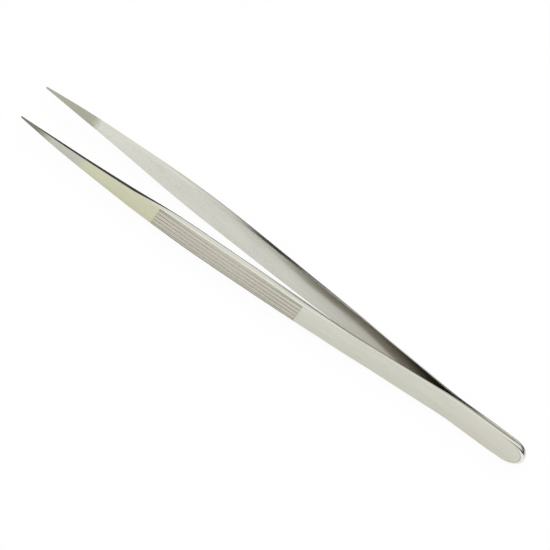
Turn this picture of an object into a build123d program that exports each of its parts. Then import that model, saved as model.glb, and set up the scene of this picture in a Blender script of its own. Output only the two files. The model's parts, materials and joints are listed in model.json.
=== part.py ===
from build123d import *
import math
import os
from collections import namedtuple

# Fine-point precision tweezers, lying on their lower edges, in millimetres.
# Two spring-steel arms are spot-welded face to face at the heel and spread towards the points.
# The origin is under the middle of the bounding box. +X runs from the heel to the points,
# +Y to the left arm, +Z up across the width of the arms.
# The spring steel bends along its blade. The model splits each arm at its flex point,
# into a heel leaf that stays with the welds and an arm that turns about a vertical axis there.

LENGTH = 165.0
HEEL_WIDTH = 8.2
LEAF_THICKNESS = 1.0
HEEL_ROUNDING = 5.3          # length of the half-ellipse that rounds the heel
EDGE_RADIUS = 0.3            # long edges, tumbled and polished
EDGE_SHARE = 0.4             # largest edge radius, as a share of the thickness or width

WELD_END = 20.0              # where the leaves part, from the heel end
BEND_RADIUS = 100.0          # bend that spreads each leaf
SPREAD_ANGLE = 5.3           # degrees that each leaf leaves the middle plane by
FLEX_POINT = 37.0            # the arm turns here, from the heel end
FLEX_GAP = 0.06              # clearance between a heel leaf and its arm
FULL_WIDTH_END = 30.0        # the heel leaf starts to narrow here
TAPER_POWER = 1.5            # how gently the narrowing starts
CUT_REACH = 20.0             # how far the leaf's outline is pushed through its profile

WELD_RADIUS = 1.5
WELD_HEIGHT = 0.8
WELD_SPOTS = (7.0, 14.0)     # weld centres, from the heel end

GRIP_START = 73.0
GRIP_END = 120.0
FLUTE_COUNT = 5
FLUTE_PITCH = 1.3
FLUTE_WIDTH = 0.5
FLUTE_DEPTH = 0.2

# Sections of one arm ahead of its flex point: distance from the heel end,
# height of the inner face above the middle plane, thickness and width.
Section = namedtuple("Section", "distance inner thickness width")
ARM_SECTIONS = (
    Section(46.0, 1.98, 1.00, 7.85),
    Section(56.0, 2.98, 1.12, 7.70),
    Section(64.0, 3.42, 1.65, 7.60),
    Section(GRIP_START, 3.75, 2.15, 7.70),
    Section(86.0, 4.45, 2.10, 8.05),
    Section(101.0, 5.34, 1.98, 8.05),
    Section(111.0, 5.83, 1.88, 7.85),
    Section(GRIP_END, 6.15, 1.80, 7.05),
    Section(132.0, 6.55, 1.60, 5.35),
    Section(143.5, 6.94, 1.32, 3.72),
    Section(154.0, 7.12, 0.96, 2.20),
    Section(LENGTH, 7.22, 0.30, 0.42),
)

OUTWARD = 0.9                # least Y of an outer face's unit normal
MID_HEIGHT = HEEL_WIDTH / 2
HEEL_X = -LENGTH / 2
SPREAD_SLOPE = math.tan(math.radians(SPREAD_ANGLE))
BEND_END = WELD_END + BEND_RADIUS * math.sin(math.radians(SPREAD_ANGLE))
BEND_RISE = BEND_RADIUS * (1 - math.cos(math.radians(SPREAD_ANGLE)))
TAPER_RUN = ARM_SECTIONS[0].distance - FULL_WIDTH_END
TAPER_DROP = HEEL_WIDTH - ARM_SECTIONS[0].width


def x_at(distance):
    """X of a point at this distance from the heel end."""
    return HEEL_X + distance


def leaf_inner(distance):
    """Height of a leaf's inner face above the middle plane, past its bend."""
    return BEND_RISE + SPREAD_SLOPE * (distance - BEND_END)


def leaf_width(distance):
    """Width of a leaf where it narrows from the heel to the arm's first section."""
    share = (distance - FULL_WIDTH_END) / TAPER_RUN
    return HEEL_WIDTH - TAPER_DROP * share**TAPER_POWER


def leaf_side_slope(distance):
    """Slope of a leaf's lower or upper edge towards the middle, where the leaf narrows."""
    share = (distance - FULL_WIDTH_END) / TAPER_RUN
    return TAPER_DROP / 2 * TAPER_POWER * share ** (TAPER_POWER - 1) / TAPER_RUN


def leaf_path(distance, side):
    """The leaf's side line from the heel end, offset from the middle plane by side at the weld."""
    bend_centre = (x_at(WELD_END), BEND_RADIUS)
    radius = BEND_RADIUS - side
    bend = CenterArc(bend_centre, radius, -90, SPREAD_ANGLE)
    end_height = bend.position_at(1).Y + SPREAD_SLOPE * (x_at(distance) - bend.position_at(1).X)
    return [
        Line((x_at(0), side), (x_at(WELD_END), side)),
        bend,
        Line(bend.position_at(1), (x_at(distance), end_height)),
    ]


def leaf_profile(distance):
    """Area of the left heel leaf seen from above, from the heel end to this distance."""
    inner = leaf_path(distance, 0)
    outer = leaf_path(distance, LEAF_THICKNESS)
    ends = [
        Line(inner[0].position_at(0), outer[0].position_at(0)),
        Line(inner[2].position_at(1), outer[2].position_at(1)),
    ]
    return make_face(Curve() + [*inner, *outer, *ends])


def leaf_planform(distance):
    """Outline of a heel leaf seen from the side: a rounded heel, then a slow taper."""
    heel = EllipticalCenterArc(
        (x_at(HEEL_ROUNDING), 0), HEEL_ROUNDING, MID_HEIGHT, start_angle=90, arc_size=180
    )
    half_end = leaf_width(distance) / 2
    outline = [heel]
    for sign in (1, -1):
        shoulder = (x_at(FULL_WIDTH_END), sign * MID_HEIGHT)
        taper = Spline(
            shoulder,
            (x_at(distance), sign * half_end),
            tangents=[(1, 0), (1, -sign * leaf_side_slope(distance))],
        )
        outline += [Line((x_at(HEEL_ROUNDING), sign * MID_HEIGHT), shoulder), taper]
    outline.append(Line((x_at(distance), half_end), (x_at(distance), -half_end)))
    return make_face(Curve() + outline)


def weld_spots():
    """The fused discs between the two heel leaves."""
    disc = Rot(90, 0, 0) * Cylinder(WELD_RADIUS, WELD_HEIGHT)
    return [Pos(x_at(spot), 0, MID_HEIGHT) * disc for spot in WELD_SPOTS]


def rim_edges(leaf):
    """Edges round a heel leaf's outer face, without the cut at its flex point."""
    outer_faces = leaf.faces().filter_by(lambda face: face.normal_at().Y > OUTWARD)
    edges = [edge for face in outer_faces for edge in face.edges()]
    cut = x_at(FLEX_POINT) - FLEX_GAP
    return [edge for edge in edges if edges.count(edge) == 1 and edge.center().X < cut]


def left_heel():
    """The welded leaf of the left arm, as far as its flex point."""
    end = FLEX_POINT - FLEX_GAP / 2
    profile = extrude(leaf_profile(end), HEEL_WIDTH)
    outline = extrude(leaf_planform(end), CUT_REACH, both=True)
    leaf = profile & Pos(0, 0, MID_HEIGHT) * Rot(90, 0, 0) * outline
    return fillet(rim_edges(leaf), EDGE_RADIUS)


def arm_section(section):
    """One cross-section of the left arm, a rectangle with rounded corners."""
    middle = section.inner + section.thickness / 2
    plane = Plane(
        origin=(x_at(section.distance), middle, MID_HEIGHT), x_dir=(0, 0, 1), z_dir=(1, 0, 0)
    )
    radius = min(EDGE_RADIUS, EDGE_SHARE * min(section.thickness, section.width))
    return plane * RectangleRounded(section.width, section.thickness, radius)


def flute_cutters():
    """Bars that cut the flutes in the outer face of the left grip."""
    points = [
        (x_at(s.distance), s.inner + s.thickness)
        for s in ARM_SECTIONS
        if GRIP_START <= s.distance <= GRIP_END
    ]
    outer = Spline(*points)
    floor = Pos(0, -FLUTE_DEPTH) * outer
    roof = Pos(0, FLUTE_DEPTH) * outer
    ends = [Line(floor.position_at(t), roof.position_at(t)) for t in (0, 1)]
    band = make_face(Curve() + [floor, roof, *ends])
    bar = extrude(band, FLUTE_WIDTH)
    first = MID_HEIGHT - (FLUTE_COUNT - 1) * FLUTE_PITCH / 2 - FLUTE_WIDTH / 2
    return [Pos(0, 0, first + i * FLUTE_PITCH) * bar for i in range(FLUTE_COUNT)]


def left_arm():
    """The left arm ahead of its flex point: blade, fluted grip and point."""
    start = FLEX_POINT + FLEX_GAP / 2
    root = Section(start, leaf_inner(start), LEAF_THICKNESS, leaf_width(start))
    arm = loft([arm_section(s) for s in (root, *ARM_SECTIONS)])
    for cutter in flute_cutters():
        arm -= cutter
    return arm


heel = left_heel()
arm = left_arm()
welds = weld_spots()
for weld in welds:
    heel -= weld
parts = {
    "left_heel": [heel],
    "right_heel": [mirror(heel, about=Plane.XZ)],
    "spot_welds": welds,
    "left_arm": [arm],
    "right_arm": [mirror(arm, about=Plane.XZ)],
}
os.makedirs("parts", exist_ok=True)
for name, solids in parts.items():
    export_step(Compound(children=solids), f"parts/{name}.step")
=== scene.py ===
"""Fine-point precision tweezers: two sprung steel arms that are welded together at the heel."""

import json
import logging
import math
from collections.abc import Callable
from dataclasses import astuple, dataclass, field
from enum import Enum

import bmesh
import bpy
import numpy as np
from mathutils import Matrix, Vector


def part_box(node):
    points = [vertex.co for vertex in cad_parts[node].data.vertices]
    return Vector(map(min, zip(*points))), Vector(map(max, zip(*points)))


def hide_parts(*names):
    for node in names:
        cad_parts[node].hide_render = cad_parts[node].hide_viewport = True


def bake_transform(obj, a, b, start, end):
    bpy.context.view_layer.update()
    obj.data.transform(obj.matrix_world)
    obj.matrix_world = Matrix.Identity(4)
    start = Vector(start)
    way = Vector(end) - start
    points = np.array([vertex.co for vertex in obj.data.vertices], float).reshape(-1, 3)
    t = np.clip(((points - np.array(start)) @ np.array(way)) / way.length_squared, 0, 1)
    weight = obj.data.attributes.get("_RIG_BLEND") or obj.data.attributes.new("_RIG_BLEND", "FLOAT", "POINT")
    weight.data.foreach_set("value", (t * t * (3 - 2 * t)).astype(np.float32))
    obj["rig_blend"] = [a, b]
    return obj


MM = 0.001
WHITE = (1.0, 1.0, 1.0, 1.0)
MIX_INPUTS = (0, 6, 7)  # a Mix node's factor and its two colours
MIX_OUTPUT = 2  # its mixed colour
Array = np.ndarray
Socket = bpy.types.NodeSocket
Feed = Socket | float
Colour = tuple[float, float, float]
Span = tuple[float, float]
log = logging.getLogger("tweezers")


class Side(Enum):
    """The arm's side of the middle plane, as the sign of its Y."""

    LEFT = 1.0
    RIGHT = -1.0

    @property
    def arm(self) -> str:
        """Name of the CAD arm, node and body, on this side."""
        return f"{self.name.lower()}_arm"

    @property
    def heel(self) -> str:
        """Name of the CAD heel leaf on this side."""
        return f"{self.name.lower()}_heel"


@dataclass(frozen=True)
class Section:
    """One cross-section of an arm, in millimetres.

    Args:
        distance: From the heel end.
        inner: Height of the inner face above the middle plane.
        thickness: Through the arm, from inner face to outer face.
        width: Across the arm.
    """

    distance: float
    inner: float
    thickness: float
    width: float


def smooth_curve(knots: Array, values: Array, first: float, last: float) -> Callable:
    """Cubic spline through the knots with given end slopes.

    Args:
        knots: Increasing distances.
        values: Value at each knot.
        first: Slope at the first knot.
        last: Slope at the last knot.

    Returns:
        A function of an array of distances.
    """
    step = np.diff(knots)
    rise = np.diff(values) / step
    count = len(knots)
    matrix = np.eye(count)
    right = np.array([first, *np.zeros(count - 2), last])
    for i in range(1, count - 1):
        matrix[i, i - 1 : i + 2] = step[i], 2 * (step[i - 1] + step[i]), step[i - 1]
        right[i] = 3 * (step[i] * rise[i - 1] + step[i - 1] * rise[i])
    slope = np.linalg.solve(matrix, right)

    def value(distance: Array) -> Array:
        """The spline at these distances.

        Args:
            distance: Any distances between the first and last knots.

        Returns:
            The value at each distance.
        """
        i = np.clip(np.searchsorted(knots, distance) - 1, 0, count - 2)
        t = (distance - knots[i]) / step[i]
        return (
            values[i] * (1 + 2 * t) * (1 - t) ** 2
            + slope[i] * step[i] * t * (1 - t) ** 2
            + values[i + 1] * t * t * (3 - 2 * t)
            + slope[i + 1] * step[i] * t * t * (t - 1)
        )

    return value


def between(first: Array | float, second: Array | float, share: Array) -> Array:
    """The value at a share of the way from first to second."""
    return first + (second - first) * share


def ease(value: Array, low: float, high: float) -> Array:
    """Smooth step from 0 at low to 1 at high."""
    t = np.clip((value - low) / (high - low), 0, 1)
    return t * t * (3 - 2 * t)


def hump(share: float) -> float:
    """Rises from 0 to 1 halfway and falls back to 0."""
    return 4 * share * (1 - share)


@dataclass
class ArmShape:
    """The rule that both arms follow from heel to point, in millimetres.

    Distances are measured from the heel end. A share is a part of the thickness or the width.
    """

    length: float = 165.0
    heel_width: float = 8.2
    heel_rounding: float = 5.3
    leaf_thickness: float = 1.0
    thick: float = 1.8
    weld_end: float = 20.0
    bend_radius: float = 100.0
    spread_angle: float = math.radians(5.3)
    full_width_end: float = 30.0
    flex_point: float = 37.0
    taper_power: float = 1.5
    rim_share: float = 0.45
    rim_leaf_share: float = 0.2
    rim_most: float = 0.95
    rim_flat: float = 0.42
    rim_slope: float = 0.5
    rim_point_share: float = 0.07
    rim_half_share: float = 0.45
    slant_start: float = 12.0
    slant_full: float = 26.0
    slant_least: float = math.tan(math.radians(4.0))
    slant_most: float = math.tan(math.radians(15.0))
    crown: float = 0.15
    inner_crown: float = 0.32
    heel_rim: float = 1.15
    facet_slope: float = math.tan(math.radians(17.0))
    facet_share: float = 0.22
    facet_depth: float = 0.38
    facet_half_share: float = 0.5
    least_wall: float = 0.02
    facet_start: float = 112.0
    point_start: float = 130.0
    seam_radius: float = 0.05
    inner_radius: float = 0.09
    corner_share: float = 0.3
    point_radius: float = 0.2
    point_thinning: float = -0.045
    point_narrowing: float = -0.16
    grip_start: float = 73.0
    grip_end: float = 120.0
    flute_run_out: float = 0.35
    flute_count: int = 5
    flute_pitch: float = 1.3
    flute_width: float = 0.5
    flute_depth: float = 0.2
    flute_margin: float = 0.6
    flute_room: float = 1.01
    worn_share: float = 0.6
    station_step: float = 0.8
    run_out_steps: tuple[float, ...] = (-0.15, 0.0, 0.2, 0.4, 0.6, 0.8, 1.0, 1.15)
    fine_length: float = 6.0
    fine_stations: int = 14
    heel_steps: int = 24
    point_steps: int = 8
    sections: tuple[Section, ...] = (
        Section(46.0, 1.98, 1.00, 7.85),
        Section(56.0, 2.98, 1.12, 7.70),
        Section(64.0, 3.42, 1.65, 7.60),
        Section(73.0, 3.75, 2.15, 7.70),
        Section(86.0, 4.45, 2.10, 8.05),
        Section(101.0, 5.34, 1.98, 8.05),
        Section(111.0, 5.83, 1.88, 7.85),
        Section(120.0, 6.15, 1.80, 7.05),
        Section(132.0, 6.55, 1.60, 5.35),
        Section(143.5, 6.94, 1.32, 3.72),
        Section(154.0, 7.12, 0.96, 2.20),
        Section(165.0, 7.22, 0.30, 0.42),
    )

    def __post_init__(self) -> None:
        """Fits the three smooth curves ahead of the leaf."""
        knots, inner, thickness, width = np.array([astuple(s) for s in self.sections]).T
        self.first = knots[0]
        self.narrowing = self.heel_width - width[0]
        run = self.first - self.full_width_end
        narrowing_slope = -self.taper_power * self.narrowing / run
        self._inner = smooth_curve(knots, inner, math.tan(self.spread_angle), 0.0)
        self._thickness = smooth_curve(knots, thickness, 0.0, self.point_thinning)
        self._width = smooth_curve(knots, width, narrowing_slope, self.point_narrowing)

    def inner(self, distance: Array) -> Array:
        """Height of the inner face above the middle plane.

        Args:
            distance: From the heel end.

        Returns:
            The height at each distance.
        """
        bend_end = self.weld_end + self.bend_radius * math.sin(self.spread_angle)
        past = np.clip(distance - self.weld_end, 0, bend_end - self.weld_end)
        bend = self.bend_radius - np.sqrt(self.bend_radius**2 - past**2)
        straight = math.tan(self.spread_angle) * np.clip(distance - bend_end, 0, None)
        return np.where(distance > self.first, self._inner(distance), bend + straight)

    def thickness(self, distance: Array) -> Array:
        """Thickness of the arm."""
        return np.where(distance > self.first, self._thickness(distance), self.leaf_thickness)

    def width(self, distance: Array) -> Array:
        """Width of the arm between its rounded ends.

        Args:
            distance: From the heel end.

        Returns:
            The width at each distance.
        """
        past = np.clip(distance - self.full_width_end, 0, None)
        share = past / (self.first - self.full_width_end)
        taper = self.narrowing * share**self.taper_power
        return np.where(distance > self.first, self._width(distance), self.heel_width - taper)

    def stations(self) -> Array:
        """Places the sweep's sections between the two rounded ends.

        Returns:
            Rising distances, closer together at the point and at the ends of the flutes.
        """
        start = self.heel_rounding
        end = self.length - self.point_radius
        plain = np.linspace(start, end, round((end - start) / self.station_step) + 1)
        near_point = self.length - np.geomspace(
            self.point_radius, self.fine_length, self.fine_stations
        )
        run_outs = [
            edge + share * self.flute_run_out
            for edge in (self.grip_start, self.grip_end - self.flute_run_out)
            for share in self.run_out_steps
        ]
        return np.unique(np.round(np.concatenate([plain, near_point, run_outs]), 4))

    def outline(self) -> tuple[Array, Array, Array]:
        """Half of the outline seen from the side, from the heel end to the point.

        Returns:
            The sweep distance of each station, its outline point as (distance, half width),
            and the outward unit normal there.
        """
        sides = self.stations()
        half = self.width(sides) / 2
        slope = np.gradient(half, sides)
        turn = np.linspace(0, math.pi / 2, self.heel_steps + 1)[:-1]
        cos, sin, heel_half = np.cos(turn), np.sin(turn), self.heel_width / 2
        heel = np.column_stack([self.heel_rounding * (1 - cos), heel_half * sin])
        heel_normal = np.column_stack([-cos / self.heel_rounding, sin / heel_half])
        turn = np.linspace(math.pi / 2, 0, self.point_steps + 1)[1:]
        point_normal = np.column_stack([np.cos(turn), np.sin(turn)])
        point = [sides[-1], 0.0] + point_normal * [self.length - sides[-1], half[-1]]
        side_normal = np.column_stack([-slope, np.ones_like(slope)])
        points = np.concatenate([heel, np.column_stack([sides, half]), point])
        normals = np.concatenate([heel_normal, side_normal, point_normal])
        normals /= np.linalg.norm(normals, axis=1, keepdims=True)
        return points[:, 0], points, normals

    def parted(self, distance: Array) -> Array:
        """How far the arm has left the weld, from 0 at the weld to 1 ahead of the leaf."""
        return ease(distance, self.weld_end, self.first)

    def pointed(self, distance: Array) -> Array:
        """Share of the ground point, from 0 at the grip to 1 along the point."""
        return ease(distance, self.facet_start, self.point_start)

    def rim_depth(self, distance: Array) -> Array:
        """How far the rounding of the outer edges reaches through the arm.

        Args:
            distance: From the heel end.

        Returns:
            The depth at each distance.
        """
        thick = ease(self.thickness(distance), self.leaf_thickness, self.thick)
        leaf = between(self.rim_share, self.rim_leaf_share, self.parted(distance))
        share = between(leaf, self.rim_share, thick)
        share = between(share, self.rim_point_share, self.pointed(distance))
        return np.minimum(share * self.thickness(distance), self.rim_most)

    def rim_width(self, distance: Array, half: Array) -> Array:
        """How far the rounding of the outer edges reaches in from the outline.

        Args:
            distance: From the heel end.
            half: Half of the outline's width at each distance.

        Returns:
            The reach at each distance.
        """
        side = np.minimum(self.rim_slope * self.rim_depth(distance), self.rim_flat)
        width = between(self.heel_rim, side, ease(distance, 0.0, 2 * self.heel_rounding))
        narrowed = np.minimum(width, self.rim_half_share * half)
        return np.where(distance < self.heel_rounding, width, narrowed)

    def crowned(self, distance: Array) -> Array:
        """How far the outer face falls away at its edges, along the thick middle of the arm."""
        return self.crown * ease(self.thickness(distance), self.leaf_thickness, self.thick)

    def inner_crowned(self, distance: Array) -> Array:
        """How far the inner face falls away at its edges, from the weld to the grip."""
        parted = ease(distance, self.weld_end, self.flex_point)
        return self.inner_crown * parted * (1 - ease(distance, self.grip_start, self.grip_end))

    def facet(self, distance: Array) -> Array:
        """How far the slanted inner edge reaches through: a fine line, then all of the point.

        Args:
            distance: From the heel end.

        Returns:
            The depth at each distance.
        """
        pointed = self.pointed(distance)
        rest = self.thickness(distance) - self.rim_depth(distance) - self.least_wall
        fine = np.minimum(self.facet_share * self.thickness(distance), self.facet_depth)
        return self.parted(distance) * fine * (1 - pointed) + rest * pointed

    def facet_drop(self, distance: Array, half: Array) -> Array:
        """How far the slanted inner edge falls in towards the inner face."""
        return np.minimum(self.facet_slope * self.facet(distance), self.facet_half_share * half)

    def slant(self, distance: Array) -> Array:
        """How far the long edges fall in towards the outer face, ahead of its rounding.

        Args:
            distance: From the heel end.

        Returns:
            The fall at each distance.
        """
        parted = ease(distance, self.slant_start, self.slant_full)
        fading = 1 - ease(distance, self.grip_start, self.facet_start)
        slope = self.slant_least + (self.slant_most - self.slant_least) * parted * fading
        wall = self.thickness(distance) - self.rim_depth(distance) - self.facet(distance)
        return slope * wall

    def corner(self, distance: Array, half: Array) -> Array:
        """Rounding of the inner corners: a closed seam at the weld, fine ahead of it."""
        radius = between(self.seam_radius, self.inner_radius, self.parted(distance))
        return np.minimum(radius, self.corner_share * np.minimum(half, self.thickness(distance)))

    def fluted(self, distance: Array) -> Array:
        """Depth of the flutes as a share: full near both ends of the grip, worn in its middle.

        Args:
            distance: From the heel end.

        Returns:
            The share at each distance, 0 off the grip.
        """
        run_in = ease(distance, self.grip_start, self.grip_start + self.flute_run_out)
        run_out = 1 - ease(distance, self.grip_end - self.flute_run_out, self.grip_end)
        middle = (self.grip_start + self.grip_end) / 2
        from_middle = np.abs(distance - middle) / (self.grip_end - middle)
        return run_in * run_out * between(self.worn_share, 1.0, from_middle**2)

    @property
    def fluted_half(self) -> float:
        """Half of the width that the flutes cover, with a fine margin."""
        return (self.flute_count - 1) / 2 * self.flute_pitch + self.flute_margin * self.flute_width


@dataclass
class SectionOutline:
    """The closed outline that is swept along an arm.

    Each point is a sum of the arm's own sizes: its share of the width, how far it is set in,
    how far it lies through the thickness, and its line across the flutes.
    """

    NAMES = (
        "across in_rim in_slant in_facet in_corner through "
        "by_rim by_facet by_corner by_crown by_inner_crown line edge"
    ).split()

    shape: ArmShape
    rim_steps: int = 8
    rim_turn: float = math.radians(50.0)
    corner_steps: int = 4
    margin: tuple[float, ...] = (0.25, 0.6, 0.9)
    inner_lines: tuple[float, ...] = (0.97, 0.8, 0.4, 0.0, -0.4, -0.8, -0.97)
    wall_lines: tuple[float, ...] = (0.15, 0.5, 0.85)
    facet_lines: tuple[float, ...] = (0.0, 0.1, 0.5, 0.85)
    groove_half: tuple[float, ...] = (0.2, 0.36, 0.46, 0.5, 0.6)
    rows: list[tuple[float, ...]] = field(default_factory=list)

    def _point(self, across: float, **parts: float) -> None:
        """Adds one point from its share of the width and its other parts."""
        self.rows.append((across, *(parts.get(name, 0.0) for name in self.NAMES[1:])))

    def _side(self, sign: float) -> list[dict[str, float]]:
        """Goes round one side, from the outer face to the inner face.

        Args:
            sign: 1 for the upper side, -1 for the lower.

        Returns:
            The named parts of each point.
        """
        points = []
        for step in range(self.rim_steps + 1):
            turn = self.rim_turn * step / self.rim_steps
            gone = (1 - math.cos(turn)) / (1 - math.cos(self.rim_turn))
            inset = 1 - math.sin(turn) / math.sin(self.rim_turn)
            rim = {"in_rim": inset, "in_slant": 1, "through": 1, "by_rim": -gone}
            points.append({**rim, "by_crown": (1 - gone) ** 2, "edge": hump(gone)})
        for share in self.wall_lines:
            wall = {"in_slant": 1 - share, "through": 1 - 2 * share, "by_rim": share - 1}
            points.append({**wall, "by_facet": share, "by_inner_crown": share})
        for share in self.facet_lines:
            points.append(
                {"in_facet": share, "through": -1, "by_facet": 1 - share, "by_inner_crown": 1}
            )
        for step in range(self.corner_steps + 1):
            u = step / self.corner_steps
            inset = u * u - self.shape.facet_slope * (1 - u) ** 2
            corner = {"in_facet": 1, "in_corner": inset, "through": -1, "by_inner_crown": 1}
            points.append({**corner, "by_corner": (1 - u) ** 2, "edge": hump(u)})
        return [{"across": sign, **point} for point in points]

    def build(self) -> Array:
        """Goes once round the section.

        Returns:
            One row of the named parts for each point.
        """
        shape = self.shape
        edge = shape.fluted_half
        outer = {"in_rim": 1, "in_slant": 1, "through": 1, "by_crown": 1}
        groove = (*reversed(self.groove_half), 0.0, *(-part for part in self.groove_half))
        for k in range(shape.flute_count - 1, -1, -1):
            centre = (k - (shape.flute_count - 1) / 2) * shape.flute_pitch
            for part in groove:
                self._point(0, **outer, line=centre + part * shape.flute_width)
        for m in self.margin:
            self._point(-m, **outer, line=-edge * (1 - m))
        for point in self._side(-1):
            self._point(**point)
        for line in reversed(self.inner_lines):
            self._point(line, in_facet=1, in_corner=1, through=-1, by_inner_crown=1)
        for point in reversed(self._side(1)):
            self._point(**point)
        for m in reversed(self.margin):
            self._point(m, **outer, line=edge * (1 - m))
        return np.array(self.rows)


class NodeBuilder:
    """Short calls for adding and wiring nodes in one tree."""

    def __init__(self, tree: bpy.types.NodeTree) -> None:
        """Keeps the tree that the nodes go in."""
        self.tree = tree

    def node(self, kind: str, inputs: dict | None = None, **settings) -> bpy.types.Node:
        """Adds a node.

        Args:
            kind: Blender's type name of the node.
            inputs: Socket name or index to a value, or to the socket that feeds it.
            settings: Properties of the node.

        Returns:
            The node.
        """
        made = self.tree.nodes.new(kind)
        for name, value in settings.items():
            setattr(made, name, value)
        self.feed(made, inputs or {})
        return made

    def feed(self, made: bpy.types.Node, inputs: dict) -> None:
        """Sets or links inputs of a node.

        Args:
            made: The node.
            inputs: Socket name or index to a value, or to the socket that feeds it.
        """
        for name, value in inputs.items():
            if isinstance(value, Socket):
                self.tree.links.new(value, made.inputs[name])
            else:
                made.inputs[name].default_value = value

    def math(self, operation: str, *values: Feed) -> Socket:
        """A Math node's result."""
        return self.node("ShaderNodeMath", dict(enumerate(values)), operation=operation).outputs[0]

    def step(self, value: Feed, low: float, high: float) -> Socket:
        """A smooth step of a value, from 0 at low to 1 at high."""
        return self.node(
            "ShaderNodeMapRange",
            {"Value": value, "From Min": low, "From Max": high},
            interpolation_type="SMOOTHSTEP",
        ).outputs["Result"]

    def bump(self, height: Socket, strength: float, depth: float) -> Socket:
        """The normal that a height gives the surface."""
        inputs = {"Strength": strength, "Distance": depth, "Height": height}
        return self.node("ShaderNodeBump", inputs).outputs["Normal"]

    def product_sum(self, *pairs: tuple[Feed, Feed]) -> Socket:
        """Adds up products.

        Args:
            pairs: The two factors of each product.

        Returns:
            The sum.
        """
        total = self.math("MULTIPLY", *pairs[0])
        for a, b in pairs[1:]:
            total = self.math("MULTIPLY_ADD", a, b, total)
        return total


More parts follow.
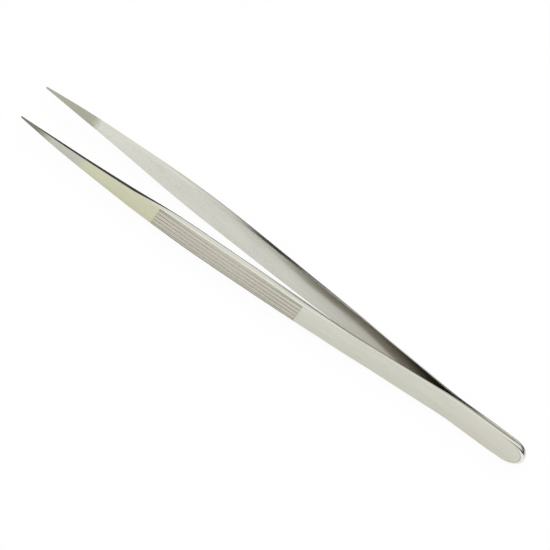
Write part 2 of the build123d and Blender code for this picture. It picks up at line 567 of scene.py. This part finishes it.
class ArmSweep:
    """Geometry Nodes tree that sweeps the section outline along an arm's stations."""

    SIZES = ("Side", "Middle Height", "Flute Pitch", "Flute Width", "Flute Depth", "Odd Flutes")
    MERGE_DISTANCE = 2e-7
    ALMOST_ONE = 0.999

    def __init__(self) -> None:
        """Builds the tree."""
        self.tree = bpy.data.node_groups.new("arm_sweep", "GeometryNodeTree")
        sockets = self.tree.interface
        sockets.new_socket("Geometry", in_out="INPUT", socket_type="NodeSocketGeometry")
        sockets.new_socket("Section", in_out="INPUT", socket_type="NodeSocketObject")
        sockets.new_socket("Finish", in_out="INPUT", socket_type="NodeSocketMaterial")
        for name in self.SIZES:
            sockets.new_socket(name, in_out="INPUT", socket_type="NodeSocketFloat")
        sockets.new_socket("Geometry", in_out="OUTPUT", socket_type="NodeSocketGeometry")
        self.nodes = NodeBuilder(self.tree)
        self.entry = self.nodes.node("NodeGroupInput").outputs
        self._build()

    def _read(self, name: str) -> Socket:
        """A float attribute carried by the sweep."""
        kind = "GeometryNodeInputNamedAttribute"
        return self.nodes.node(kind, {"Name": name}, data_type="FLOAT").outputs["Attribute"]

    def _store(self, geometry: Socket, name: str, value: Socket, kind: str = "FLOAT") -> Socket:
        """The geometry with an attribute of this kind stored on every point."""
        inputs = {"Geometry": geometry, "Name": name, "Value": value}
        return self.nodes.node("GeometryNodeStoreNamedAttribute", inputs, data_type=kind).outputs[0]

    def _groove(self, line: Socket) -> Socket:
        """Round flutes across the arm.

        Args:
            line: Distance across the arm from the middle.

        Returns:
            Depth as a share, from 0 on a land to 1 on a groove's floor.
        """
        m = self.nodes.math
        pitch, width = self.entry["Flute Pitch"], self.entry["Flute Width"]
        pitches = m("DIVIDE", line, pitch)
        phase = m("ADD", pitches, m("MULTIPLY", self.entry["Odd Flutes"], 0.5))
        from_centre = m("ABSOLUTE", m("SUBTRACT", m("FRACT", phase), 0.5))
        reach = m("MULTIPLY", from_centre, m("DIVIDE", pitch, width))
        turned = m("MINIMUM", m("MULTIPLY", reach, 2.0), 1.0)
        round_floor = m("SUBTRACT", 1.0, m("POWER", turned, 2.0))
        return m("SQRT", m("MAXIMUM", round_floor, 0.0))

    def _build(self) -> None:
        """Wires the sweep, the arm's positions, its flutes and its finish masks."""
        node, m = self.nodes.node, self.nodes.math
        spine = node("GeometryNodeMeshToCurve", {"Mesh": self.entry["Geometry"]})
        held = node("GeometryNodeObjectInfo", {"Object": self.entry["Section"]})
        outline = node("GeometryNodeMeshToCurve", {"Mesh": held.outputs["Geometry"]})
        swept = node(
            "GeometryNodeCurveToMesh",
            {"Curve": spine.outputs["Curve"], "Profile Curve": outline.outputs["Curve"]},
        ).outputs["Mesh"]

        read = self._read
        inset = self.nodes.product_sum(
            (read("in_rim"), read("rim_width")),
            (read("in_slant"), read("slant")),
            (read("in_facet"), read("facet_drop")),
            (read("in_corner"), read("corner")),
        )
        flat_half = m("SUBTRACT", read("half_width"), m("MULTIPLY", inset, read("normal_z")))
        height = self.nodes.product_sum(
            (read("across"), flat_half), (read("line"), read("line_scale"))
        )
        along = m("SUBTRACT", read("distance"), m("MULTIPLY", inset, read("normal_x")))
        offset = self.nodes.product_sum(
            (read("through"), read("half_thickness")),
            (read("by_rim"), read("rim_depth")),
            (read("by_facet"), read("facet")),
            (read("by_corner"), read("corner")),
        )
        share = m("DIVIDE", height, read("half_width"))
        rise = self.nodes.product_sum(
            (read("inner_crown"), read("by_inner_crown")),
            (m("MULTIPLY", read("crown"), -1.0), read("by_crown")),
        )
        offset = m("MULTIPLY_ADD", m("MULTIPLY", share, share), rise, offset)
        on_outer_face = m(
            "GREATER_THAN", m("MULTIPLY", read("in_rim"), read("through")), self.ALMOST_ONE
        )
        fluted = m("MULTIPLY", on_outer_face, read("fluted"))
        groove = m("MULTIPLY", self._groove(read("line")), fluted)
        cut = m("MULTIPLY", groove, self.entry["Flute Depth"])
        depth = m("ADD", read("centre"), m("SUBTRACT", offset, cut))
        beside = m("MULTIPLY", depth, self.entry["Side"])
        above = m("ADD", height, self.entry["Middle Height"])
        place = node("ShaderNodeCombineXYZ", {"X": along, "Y": beside, "Z": above}).outputs[0]
        moved = node("GeometryNodeSetPosition", {"Geometry": swept, "Position": place}).outputs[0]
        for name, value in (
            ("groove", groove),
            ("rim", read("edge")),
            ("bevel", m("SUBTRACT", 1.0, read("in_rim"))),
            ("outer_face", m("GREATER_THAN", read("through"), 0.0)),
            ("grip", m("MULTIPLY", on_outer_face, m("GREATER_THAN", read("fluted"), 0.0))),
        ):
            moved = self._store(moved, name, value)
        made = self._store(moved, "place", place, "FLOAT_VECTOR")
        for kind, inputs in (
            ("MergeByDistance", {"Distance": self.MERGE_DISTANCE}),
            ("SetShadeSmooth", {}),
            ("RealizeInstances", {}),
            ("SetMaterial", {"Material": self.entry["Finish"]}),
        ):
            made = node(f"GeometryNode{kind}", {"Geometry": made, **inputs}).outputs["Geometry"]
        node("NodeGroupOutput", {"Geometry": made})

    def run(self, spine: bpy.types.Object, values: dict[str, object]) -> bpy.types.Mesh:
        """Sweeps one arm.

        Args:
            spine: Chain of stations with their sizes as attributes.
            values: Named inputs of the tree.

        Returns:
            The swept arm as a plain mesh.
        """
        modifier = spine.modifiers.new("sweep", "NODES")
        modifier.node_group = self.tree
        for item in self.tree.interface.items_tree:
            if item.in_out == "INPUT" and item.name in values:
                modifier[item.identifier] = values[item.name]
        graph = bpy.context.evaluated_depsgraph_get()
        mesh = bpy.data.meshes.new_from_object(spine.evaluated_get(graph))
        spine.modifiers.remove(modifier)
        return mesh


def chain(
    name: str, points: Array, closed: bool, sizes: dict[str, Array]
) -> bpy.types.Object:
    """A row of joined points that carries sizes as attributes.

    Args:
        name: Name of the object.
        points: One row of X, Y, Z for each point.
        closed: Whether the last point joins the first.
        sizes: Attribute name to one value for each point.

    Returns:
        The object, linked to the scene.
    """
    count = len(points)
    edges = [(i, i + 1) for i in range(count - 1)] + ([(count - 1, 0)] if closed else [])
    mesh = bpy.data.meshes.new(name)
    mesh.from_pydata(points.tolist(), edges, [])
    for key, values in sizes.items():
        stored = mesh.attributes.new(key, "FLOAT", "POINT")
        stored.data.foreach_set("value", values.astype(np.float32))
    made = bpy.data.objects.new(name, mesh)
    bpy.context.scene.collection.objects.link(made)
    return made


@dataclass
class SteelArm:
    """One arm in one piece of steel, from the rounded heel to the needle point."""

    MASKS = ("groove", "rim", "bevel", "outer_face", "grip")
    DEGENERATE_LENGTH = 1e-8

    side: Side
    shape: ArmShape
    sweep: ArmSweep
    finish: bpy.types.Material
    flex_zone: float = 24.0

    def _place(self) -> tuple[float, float]:
        """X of the heel end and the middle height, from the CAD heel leaf."""
        low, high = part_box(self.side.heel)
        return low.x, (low.z + high.z) / 2

    def _stations(self, heel_x: float) -> bpy.types.Object:
        """Makes the chain of stations along the arm.

        Args:
            heel_x: X of the heel end.

        Returns:
            The chain, with each section's sizes in metres.
        """
        shape = self.shape
        distance, points, normals = shape.outline()
        thickness = shape.thickness(distance)
        half = points[:, 1]
        rim_width = shape.rim_width(distance, half)
        slant = shape.slant(distance)
        flat_half = half - (rim_width + slant) * normals[:, 1]
        sizes = {
            "distance": heel_x + points[:, 0] * MM,
            "half_width": half * MM,
            "normal_x": normals[:, 0],
            "normal_z": normals[:, 1],
            "half_thickness": thickness / 2 * MM,
            "centre": (shape.inner(distance) + thickness / 2) * MM,
            "rim_width": rim_width * MM,
            "rim_depth": shape.rim_depth(distance) * MM,
            "slant": slant * MM,
            "crown": shape.crowned(distance) * MM,
            "inner_crown": shape.inner_crowned(distance) * MM,
            "facet": shape.facet(distance) * MM,
            "facet_drop": shape.facet_drop(distance, half) * MM,
            "corner": shape.corner(distance, half) * MM,
            "line_scale": np.minimum(1.0, flat_half / (shape.fluted_half * shape.flute_room)),
            "fluted": shape.fluted(distance),
        }
        spots = np.zeros((len(distance), 3))
        spots[:, 0] = np.linspace(0, shape.length * MM, len(distance))
        return chain(f"{self.side.arm}_stations", spots, False, sizes)

    def _section(self) -> bpy.types.Object:
        """Makes the closed section outline.

        Returns:
            The chain, with each point's parts as attributes.
        """
        rows = SectionOutline(self.shape).build()
        sizes = dict(zip(SectionOutline.NAMES, rows.T, strict=True))
        sizes["line"] = sizes["line"] * MM
        turn = np.linspace(0, 2 * math.pi, len(rows), endpoint=False)
        circle = np.column_stack([np.cos(turn), np.sin(turn), np.zeros_like(turn)]) * MM
        return chain(f"{self.side.arm}_section", circle, True, sizes)

    def build(self) -> bpy.types.Object:
        """Sweeps the arm and hangs it on the frame.

        Returns:
            The arm's piece.
        """
        heel_x, middle = self._place()
        stations, section, shape = self._stations(heel_x), self._section(), self.shape
        mesh = self.sweep.run(
            stations,
            {
                "Section": section,
                "Finish": self.finish,
                "Side": self.side.value,
                "Middle Height": middle,
                "Flute Pitch": shape.flute_pitch * MM,
                "Flute Width": shape.flute_width * MM,
                "Flute Depth": shape.flute_depth * MM,
                "Odd Flutes": float(shape.flute_count % 2),
            },
        )
        for helper in (stations, section):
            bpy.data.objects.remove(helper)
        self._tidy(mesh)
        piece = bpy.data.objects.new(f"{self.side.arm}_steel", mesh)
        bpy.context.scene.collection.objects.link(piece)
        return self._hang(piece)

    def _tidy(self, mesh: bpy.types.Mesh) -> None:
        """Turns every face outward and drops the sweep's helper attributes.

        Args:
            mesh: The swept arm, changed in place.
        """
        work = bmesh.new()
        work.from_mesh(mesh)
        bmesh.ops.dissolve_degenerate(work, dist=self.DEGENERATE_LENGTH, edges=work.edges)
        bmesh.ops.recalc_face_normals(work, faces=work.faces)
        work.to_mesh(mesh)
        work.free()
        helpers = [
            stored.name
            for stored in mesh.attributes
            if stored.data_type == "FLOAT" and stored.name not in self.MASKS
        ]
        for name in helpers:
            mesh.attributes.remove(mesh.attributes[name])

    def _hang(self, piece: bpy.types.Object) -> bpy.types.Object:
        """Puts the piece in place of its two CAD solids, flexing between their bodies.

        Args:
            piece: The finished arm.

        Returns:
            The same piece.
        """
        joint = next(j for j in FRAME["joints"] if j["child"] == self.side.arm)
        pivot = Vector(joint["pos_m"])
        reach = Vector((self.flex_zone / 2 * MM, 0, 0))
        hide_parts(self.side.heel, self.side.arm)
        start, end = tuple(pivot - reach), tuple(pivot + reach)
        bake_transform(piece, "heel", self.side.arm, start=start, end=end)
        return piece


class SurfaceEffect:
    """A shader node group that puts out masks and values over a surface."""

    name = "effect"
    inputs: tuple[str, ...] = ()
    outputs: tuple[str, ...] = ()

    def __init__(self) -> None:
        """Builds the group once."""
        self.tree = bpy.data.node_groups.new(self.name, "ShaderNodeTree")
        for in_out, sockets in (("INPUT", self.inputs), ("OUTPUT", self.outputs)):
            for label in sockets:
                kind = "NodeSocketVector" if label == "Place" else "NodeSocketFloat"
                self.tree.interface.new_socket(label, in_out=in_out, socket_type=kind)
        self.nodes = NodeBuilder(self.tree)
        self.entry = self.nodes.node("NodeGroupInput").outputs
        self.nodes.node("NodeGroupOutput", self.wire())

    def wire(self) -> dict[str, Socket]:
        """Wires the effect, and returns the socket for each output."""
        raise NotImplementedError

    def use(self, nodes: NodeBuilder, values: dict[str, Feed]) -> bpy.types.NodeOutputs:
        """Places the group in the material of this builder, and returns its outputs."""
        return nodes.node("ShaderNodeGroup", values, node_tree=self.tree).outputs

    def noise(
        self, place: Socket, scale: Feed, detail: float = 3.0, roughness: float = 0.55
    ) -> Socket:
        """A noise value at this place, in features for each metre."""
        return self.nodes.node(
            "ShaderNodeTexNoise",
            {"Vector": place, "Scale": scale, "Detail": detail, "Roughness": roughness},
        ).outputs["Fac"]

    def stretched(self, along: float, across: float = 1.0) -> Socket:
        """The place with its pattern drawn out along the arm."""
        return self.nodes.node(
            "ShaderNodeVectorMath",
            {0: self.entry["Place"], 1: (along, across, across)},
            operation="MULTIPLY",
        ).outputs["Vector"]


class LengthwiseGrain(SurfaceEffect):
    """Fine belt-polishing lines along the steel, and broader streaks."""

    name = "lengthwise_grain"
    inputs = ("Place", "Fineness")
    outputs = ("Lines", "Streaks")
    line_stretch = 0.02
    streak_stretch = 0.05
    streak_scale = 0.12
    streak_detail = 2.0
    streak_range = (0.35, 0.65)

    def wire(self) -> dict[str, Socket]:
        """Two noises drawn out along the arm."""
        fineness = self.entry["Fineness"]
        lines = self.noise(self.stretched(self.line_stretch), fineness)
        scale = self.nodes.math("MULTIPLY", fineness, self.streak_scale)
        broad = self.noise(self.stretched(self.streak_stretch), scale, self.streak_detail)
        return {"Lines": lines, "Streaks": self.nodes.step(broad, *self.streak_range)}


class HandlingSmudges(SurfaceEffect):
    """Soft smudges where fingers have been, and a faint colour cast."""

    name = "handling_smudges"
    inputs = ("Place", "Size")
    outputs = ("Smudge", "Cast")
    patch_stretch = 0.6
    patch_detail = 5.0
    patch_roughness = 0.6
    patch_range = (0.48, 0.72)
    cast_stretch = (0.8, 0.7)
    cast_scale = 0.4
    cast_detail = 1.0
    cast_range = (0.3, 0.7)

    def wire(self) -> dict[str, Socket]:
        """A patchy noise for the smudges and a broad one for the cast."""
        scale = self.nodes.math("DIVIDE", 1.0, self.entry["Size"])
        patches = self.noise(
            self.stretched(self.patch_stretch), scale, self.patch_detail, self.patch_roughness
        )
        broad = self.nodes.math("MULTIPLY", scale, self.cast_scale)
        cast = self.noise(self.stretched(*self.cast_stretch), broad, self.cast_detail)
        return {
            "Smudge": self.nodes.step(patches, *self.patch_range),
            "Cast": self.nodes.step(cast, *self.cast_range),
        }


class EdgeWear(SurfaceEffect):
    """Edges rubbed brighter, broken up along their length."""

    name = "edge_wear"
    inputs = ("Place", "Edge")
    outputs = ("Wear",)
    stretch = 0.3
    scale = 900.0
    detail = 4.0
    worn_range = (0.2, 0.75)

    def wire(self) -> dict[str, Socket]:
        """The edge mask, worn unevenly."""
        uneven = self.noise(self.stretched(self.stretch), self.scale, self.detail)
        worn = self.nodes.step(uneven, *self.worn_range)
        return {"Wear": self.nodes.math("MULTIPLY", self.entry["Edge"], worn)}


class HeelBevel(SurfaceEffect):
    """Painted light on the bevel round the heel end: a painted highlight across it, and a fine painted shade
    line where it meets the face.
    """

    name = "heel_bevel"
    inputs = ("Bevel", "Heel")
    outputs = ("Polish", "Line")
    polish_range = (0.16, 0.34)
    line_range = (0.0, 0.1)

    def wire(self) -> dict[str, Socket]:
        """Two painted bands across the bevel, from the face to its foot: the shade line, then the highlight.
        """
        m = self.nodes.math
        bevel, heel = self.entry["Bevel"], self.entry["Heel"]
        highlight = self.nodes.step(bevel, *self.polish_range)
        line = m("SUBTRACT", self.nodes.step(bevel, *self.line_range), highlight)
        return {"Polish": m("MULTIPLY", highlight, heel), "Line": m("MULTIPLY", line, heel)}


class GrooveGrime(SurfaceEffect):
    """Polishing compound and grime left on the floors of the flutes."""

    name = "groove_grime"
    inputs = ("Place", "Groove")
    outputs = ("Grime",)
    deep_range = (0.25, 0.9)
    stretch = 0.35
    scale = 260.0
    detail = 4.0
    patch_range = (0.2, 0.8)
    least = 0.5

    def wire(self) -> dict[str, Socket]:
        """The deep part of each groove, thicker in some stretches than in others."""
        m = self.nodes.math
        deep = self.nodes.step(self.entry["Groove"], *self.deep_range)
        uneven = self.noise(self.stretched(self.stretch), self.scale, self.detail)
        patchy = self.nodes.step(uneven, *self.patch_range)
        amount = m("MULTIPLY_ADD", patchy, 1.0 - self.least, self.least)
        return {"Grime": m("MULTIPLY", deep, amount)}


class GroundZone(SurfaceEffect):
    """A zone along the arm, such as the tinted stretch ahead of the grip or the ground point."""

    name = "ground_zone"
    inputs = ("Place", "Start", "End")
    outputs = ("Zone",)
    ragged_scale = 300.0
    ragged_reach = 0.003

    def wire(self) -> dict[str, Socket]:
        """A smooth step along the arm with a slightly ragged edge."""
        m = self.nodes.math
        place, start, end = (self.entry[name] for name in ("Place", "Start", "End"))
        x = self.nodes.node("ShaderNodeSeparateXYZ", {"Vector": place}).outputs["X"]
        ragged = m("MULTIPLY_ADD", self.noise(place, self.ragged_scale), self.ragged_reach, x)
        share = m("DIVIDE", m("SUBTRACT", ragged, start), m("SUBTRACT", end, start))
        return {"Zone": self.nodes.step(share, 0.0, 1.0)}


@dataclass
class Effects:
    """The effects that the finishes share, each built once."""

    grain: LengthwiseGrain = field(default_factory=LengthwiseGrain)
    smudges: HandlingSmudges = field(default_factory=HandlingSmudges)
    wear: EdgeWear = field(default_factory=EdgeWear)
    grime: GrooveGrime = field(default_factory=GrooveGrime)
    # Painted highlight and painted shade line round the heel bevel.
    bevel: HeelBevel = field(default_factory=HeelBevel)
    zone: GroundZone = field(default_factory=GroundZone)


def mixed(
    nodes: NodeBuilder, share: Feed, first: Socket | Colour, second: Socket | Colour
) -> Socket:
    """Mixes two colours.

    Args:
        nodes: Builder of the material's tree.
        share: Share of the second colour.
        first: Colour at a share of 0.
        second: Colour at a share of 1.

    Returns:
        The mixed colour.
    """
    ends = [(*end, 1.0) if isinstance(end, tuple) else end for end in (first, second)]
    inputs = dict(zip(MIX_INPUTS, (share, *ends), strict=True))
    return nodes.node("ShaderNodeMix", inputs, data_type="RGBA").outputs[MIX_OUTPUT]


def attribute(nodes: NodeBuilder, name: str, output: str = "Fac") -> Socket:
    """One of the arm's own attributes."""
    return nodes.node("ShaderNodeAttribute", attribute_name=name).outputs[output]


def bare_steel(name: str) -> tuple[bpy.types.Material, NodeBuilder, bpy.types.Node]:
    """Starts a metal material.

    Args:
        name: Name of the material.

    Returns:
        The material, the builder of its tree and its shader.
    """
    made = bpy.data.materials.new(name)
    made.use_nodes = True
    shader = made.node_tree.nodes["Principled BSDF"]
    shader.inputs["Metallic"].default_value = 1.0
    return made, NodeBuilder(made.node_tree), shader


@dataclass(frozen=True)
class SatinSteel:
    """Warm stainless steel with a satin lengthwise grain, and a straw tint ahead of the grip.

    A zone is a pair of places along the arm, in metres, where it starts and where it is full.
    """

    name: str = "satin_steel"
    outer: Colour = (0.655, 0.670, 0.583)
    outer_cast: Colour = (0.672, 0.647, 0.574)
    inner: Colour = (0.720, 0.720, 0.655)
    # Painted shade on the inner faces towards the heel, where the arms face each other.
    inner_heel: Colour = (0.620, 0.600, 0.540)
    straw: Colour = (0.640, 0.640, 0.475)
    fluted: Colour = (0.580, 0.550, 0.470)
    ground: Colour = (0.440, 0.435, 0.350)
    ground_outer: Colour = (0.560, 0.560, 0.490)
    tip: Colour = (0.220, 0.220, 0.175)
    # Also the colour of the painted shade line round the heel bevel.
    grime: Colour = (0.300, 0.280, 0.225)
    # Also the colour of the painted highlight round the heel bevel.
    worn: Colour = (0.860, 0.845, 0.790)
    straw_zone: Span = (0.0365, 0.0395)
    ground_zone: Span = (0.0660, 0.0685)
    ground_outer_zone: Span = (0.0615, 0.0650)
    tip_zone: Span = (0.0730, 0.0790)
    # Where the painted shade on the inner faces fades out.
    inner_zone: Span = (-0.0300, 0.0)
    # Where the heel bevel's painted highlight and painted shade line go.
    heel_zone: Span = (-0.0750, -0.0790)
    cast_share: float = 0.7
    grip_share: float = 0.9
    streak_share: float = 0.06
    smudge_share: float = 0.05
    grime_share: float = 0.6
    wear_share: float = 0.3
    # Shares of the heel bevel's painted highlight and painted shade line.
    polish_share: float = 0.8
    line_share: float = 0.7
    roughness: float = 0.2
    streak_roughness: float = 0.05
    smudge_roughness: float = 0.05
    grime_roughness: float = 0.2
    wear_roughness: float = -0.06
    grain_fineness: float = 9000.0
    grain_depth: float = 0.000002
    grain_strength: float = 0.3
    inner_grain: float = 0.4
    smudge_size: float = 0.009

    def make(self, effects: Effects) -> bpy.types.Material:
        """Builds the material.

        Args:
            effects: The shared effects.

        Returns:
            The material.
        """
        made, nodes, shader = bare_steel(self.name)
        m = nodes.math
        place = attribute(nodes, "place", "Vector")
        outer_face = attribute(nodes, "outer_face")

        def zone(span: Span) -> Socket:
            """Share of a zone of the arm."""
            return effects.zone.use(nodes, {"Place": place, "Start": span[0], "End": span[1]})[0]

        grain = effects.grain.use(nodes, {"Place": place, "Fineness": self.grain_fineness})
        smudges = effects.smudges.use(nodes, {"Place": place, "Size": self.smudge_size})
        wear = effects.wear.use(nodes, {"Place": place, "Edge": attribute(nodes, "rim")})[0]
        grime = effects.grime.use(nodes, {"Place": place, "Groove": attribute(nodes, "groove")})[0]
        # Painted highlight and painted shade line on the bevel round the heel end.
        bevel = effects.bevel.use(
            nodes, {"Bevel": attribute(nodes, "bevel"), "Heel": zone(self.heel_zone)}
        )
        outside = self.outer
        for share, tint in (
            (m("MULTIPLY", smudges["Cast"], self.cast_share), self.outer_cast),
            (zone(self.straw_zone), self.straw),
            (m("MULTIPLY", attribute(nodes, "grip"), self.grip_share), self.fluted),
            (zone(self.ground_outer_zone), self.ground_outer),
            (zone(self.tip_zone), self.tip),
        ):
            outside = mixed(nodes, share, outside, tint)
        # The inner faces take a painted shade towards the heel.
        inside = mixed(nodes, zone(self.inner_zone), self.inner_heel, self.inner)
        inside = mixed(nodes, zone(self.ground_zone), inside, self.ground)
        colour = mixed(nodes, outer_face, inside, outside)
        for mask, share, tint in (
            (grain["Streaks"], self.streak_share, self.grime),
            (smudges["Smudge"], self.smudge_share, self.grime),
            (grime, self.grime_share, self.grime),
            (wear, self.wear_share, self.worn),
            # The heel bevel's painted highlight and painted shade line.
            (bevel["Polish"], self.polish_share, self.worn),
            (bevel["Line"], self.line_share, self.grime),
        ):
            colour = mixed(nodes, m("MULTIPLY", mask, share), colour, tint)
        rough = self.roughness
        for mask, share in (
            (grain["Streaks"], self.streak_roughness),
            (smudges["Smudge"], self.smudge_roughness),
            (grime, self.grime_roughness),
            (wear, self.wear_roughness),
        ):
            rough = m("MULTIPLY_ADD", mask, share, rough)
        depth = m("MULTIPLY_ADD", outer_face, 1.0 - self.inner_grain, self.inner_grain)
        lines = m("MULTIPLY", grain["Lines"], depth)
        bump = nodes.bump(lines, self.grain_strength, self.grain_depth)
        nodes.feed(shader, {"Base Color": colour, "Roughness": rough, "Normal": bump})
        return made


@dataclass(frozen=True)
class WeldSteel:
    """Fused steel of the spot welds, dull grey with heat-tinted patches."""

    name: str = "weld_steel"
    fused: Colour = (0.330, 0.320, 0.300)
    tinted: Colour = (0.330, 0.270, 0.180)
    tint_size: float = 0.0015
    roughness: float = 0.42
    streak_roughness: float = 0.12
    grain_fineness: float = 5000.0
    grain_depth: float = 0.00003
    grain_strength: float = 0.5

    def make(self, effects: Effects) -> bpy.types.Material:
        """Builds the material.

        Args:
            effects: The shared effects.

        Returns:
            The material.
        """
        made, nodes, shader = bare_steel(self.name)
        place = nodes.node("ShaderNodeTexCoord").outputs["Object"]
        grain = effects.grain.use(nodes, {"Place": place, "Fineness": self.grain_fineness})
        smudges = effects.smudges.use(nodes, {"Place": place, "Size": self.tint_size})
        colour = mixed(nodes, smudges["Smudge"], self.fused, self.tinted)
        rough = nodes.math(
            "MULTIPLY_ADD", grain["Streaks"], self.streak_roughness, self.roughness
        )
        bump = nodes.bump(grain["Lines"], self.grain_strength, self.grain_depth)
        nodes.feed(shader, {"Base Color": colour, "Roughness": rough, "Normal": bump})
        return made


@dataclass
class Studio:
    """The pale floor, the soft light and the camera."""

    floor_half: float = 3.0
    paper: Colour = (0.7, 0.7, 0.7)
    paper_roughness: float = 0.9
    paper_gloss: float = 0.2
    washed: float = 0.85
    glow: float = 0.4
    horizon: Span = (0.36, 0.6)
    dark: float = 0.02
    fill: float = 1.0
    key: float = 0.25
    key_spread: Span = (0.6, 0.95)
    key_direction: tuple[float, float, float] = (0.0, 0.8, 0.6)
    elevation: float = math.radians(45.0)
    distance: float = 1.0
    view_width: float = 0.1495
    roll: float = math.radians(36.2)
    aim: tuple[float, float, float] = (0.0018, -0.0005, 0.0046)
    sensor: float = 36.0
    sight: float = 50.0

    def floor(self) -> bpy.types.Object:
        """Lays a plain pale floor under the lower edges.

        Returns:
            The floor.
        """
        mesh = bpy.data.meshes.new("floor")
        h = self.floor_half
        mesh.from_pydata([(-h, -h, 0), (h, -h, 0), (h, h, 0), (-h, h, 0)], [], [(0, 1, 2, 3)])
        made = bpy.data.objects.new("floor", mesh)
        mesh.materials.append(self._floor_finish())
        bpy.context.scene.collection.objects.link(made)
        return made

    def _floor_finish(self) -> bpy.types.Material:
        """Makes matt white paper, lit so evenly that little of its shadows shows directly.

        Returns:
            The material.
        """
        material = bpy.data.materials.new("pale_floor")
        material.use_nodes = True
        nodes = NodeBuilder(material.node_tree)
        paper = material.node_tree.nodes["Principled BSDF"]
        nodes.feed(
            paper,
            {
                "Base Color": (*self.paper, 1.0),
                "Roughness": self.paper_roughness,
                "Specular IOR Level": self.paper_gloss,
                "Emission Color": WHITE,
                "Emission Strength": self.glow,
            },
        )
        white = nodes.node("ShaderNodeEmission", {"Color": WHITE, "Strength": 1.0})
        seen = nodes.node("ShaderNodeLightPath").outputs["Is Camera Ray"]
        share = nodes.math("MULTIPLY", seen, self.washed)
        both = nodes.node(
            "ShaderNodeMixShader", {0: share, 1: paper.outputs[0], 2: white.outputs[0]}
        )
        nodes.feed(material.node_tree.nodes["Material Output"], {"Surface": both.outputs[0]})
        return material

    def light(self) -> None:
        """A soft white dome, brightest over the camera's side and dark just above the floor."""
        world = bpy.data.worlds.new("studio")
        world.use_nodes = True
        tree = world.node_tree
        nodes = NodeBuilder(tree)
        m = nodes.math
        direction = nodes.node("ShaderNodeTexCoord").outputs["Generated"]
        rise = nodes.node("ShaderNodeSeparateXYZ", {"Vector": direction}).outputs["Z"]
        toward = Vector(self.key_direction).normalized()
        facing = nodes.node(
            "ShaderNodeVectorMath", {0: direction, 1: tuple(toward)}, operation="DOT_PRODUCT"
        )
        open_sky = nodes.step(rise, *self.horizon)
        key = nodes.step(facing.outputs["Value"], *self.key_spread)
        level = m("MULTIPLY_ADD", open_sky, self.fill - self.dark, self.dark)
        level = m("ADD", level, m("MULTIPLY", key, self.key))
        seen = nodes.node("ShaderNodeLightPath").outputs["Is Camera Ray"]
        level = m("ADD", m("MULTIPLY", level, m("SUBTRACT", 1.0, seen)), seen)
        nodes.feed(tree.nodes["Background"], {"Color": WHITE, "Strength": level})
        bpy.context.scene.world = world
        bpy.context.scene.view_settings.view_transform = "Standard"

    def camera(self) -> bpy.types.Object:
        """Sets the camera above the left arm's side, rolled to lift the points to the top left.

        Returns:
            The camera.
        """
        data = bpy.data.cameras.new("camera")
        data.sensor_width = self.sensor
        data.lens = self.sensor * self.distance / self.view_width
        data.clip_end = self.sight
        made = bpy.data.objects.new("camera", data)
        bpy.context.scene.collection.objects.link(made)
        back = Vector((0, math.cos(self.elevation), math.sin(self.elevation)))
        facing = back.to_track_quat("Z", "Y").to_matrix().to_4x4()
        turned = facing @ Matrix.Rotation(self.roll, 4, "Z")
        made.matrix_world = Matrix.Translation(Vector(self.aim) + back * self.distance) @ turned
        bpy.context.scene.camera = made
        return made


def main() -> None:
    """Builds the tweezers and their studio in order.
    """
    studio = Studio()
    studio.camera()
    studio.floor()
    studio.light()
    effects = Effects()
    sweep = ArmSweep()
    keen = ArmShape(
        rim_share=0.15,
        rim_leaf_share=0.1,
        slant_most=math.tan(math.radians(18.0)),
        facet_slope=0.0,
        facet_depth=0.02,
        inner_radius=0.03,
    )
    shapes = {Side.LEFT: ArmShape(), Side.RIGHT: keen}
    finishes = {
        # The left arm's inner faces take a much darker painted shade towards the heel.
        Side.LEFT: SatinSteel(
            name="tarnished_satin_steel",
            inner_heel=(0.35, 0.33, 0.28),
            inner_zone=(-0.012, 0.012),
        ),
        Side.RIGHT: SatinSteel(),
    }
    for side in Side:
        finish = finishes[side].make(effects)
        piece = SteelArm(side, shapes[side], sweep, finish).build()
        log.info("%s: %d faces", piece.name, len(piece.data.polygons))
    weld = FRAME["nodes"]["spot_welds"]
    weld.data.materials.clear()
    weld.data.materials.append(WeldSteel().make(effects))


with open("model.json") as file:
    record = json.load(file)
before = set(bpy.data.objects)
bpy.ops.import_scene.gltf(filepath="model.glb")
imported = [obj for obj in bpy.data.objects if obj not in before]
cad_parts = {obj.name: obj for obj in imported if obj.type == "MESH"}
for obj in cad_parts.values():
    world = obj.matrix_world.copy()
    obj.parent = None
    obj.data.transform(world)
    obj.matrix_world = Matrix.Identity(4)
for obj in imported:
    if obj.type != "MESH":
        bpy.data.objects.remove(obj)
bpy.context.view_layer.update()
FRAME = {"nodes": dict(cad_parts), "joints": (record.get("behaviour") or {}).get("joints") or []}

if __name__ == "__main__":
    logging.basicConfig(level=logging.INFO)
    main()
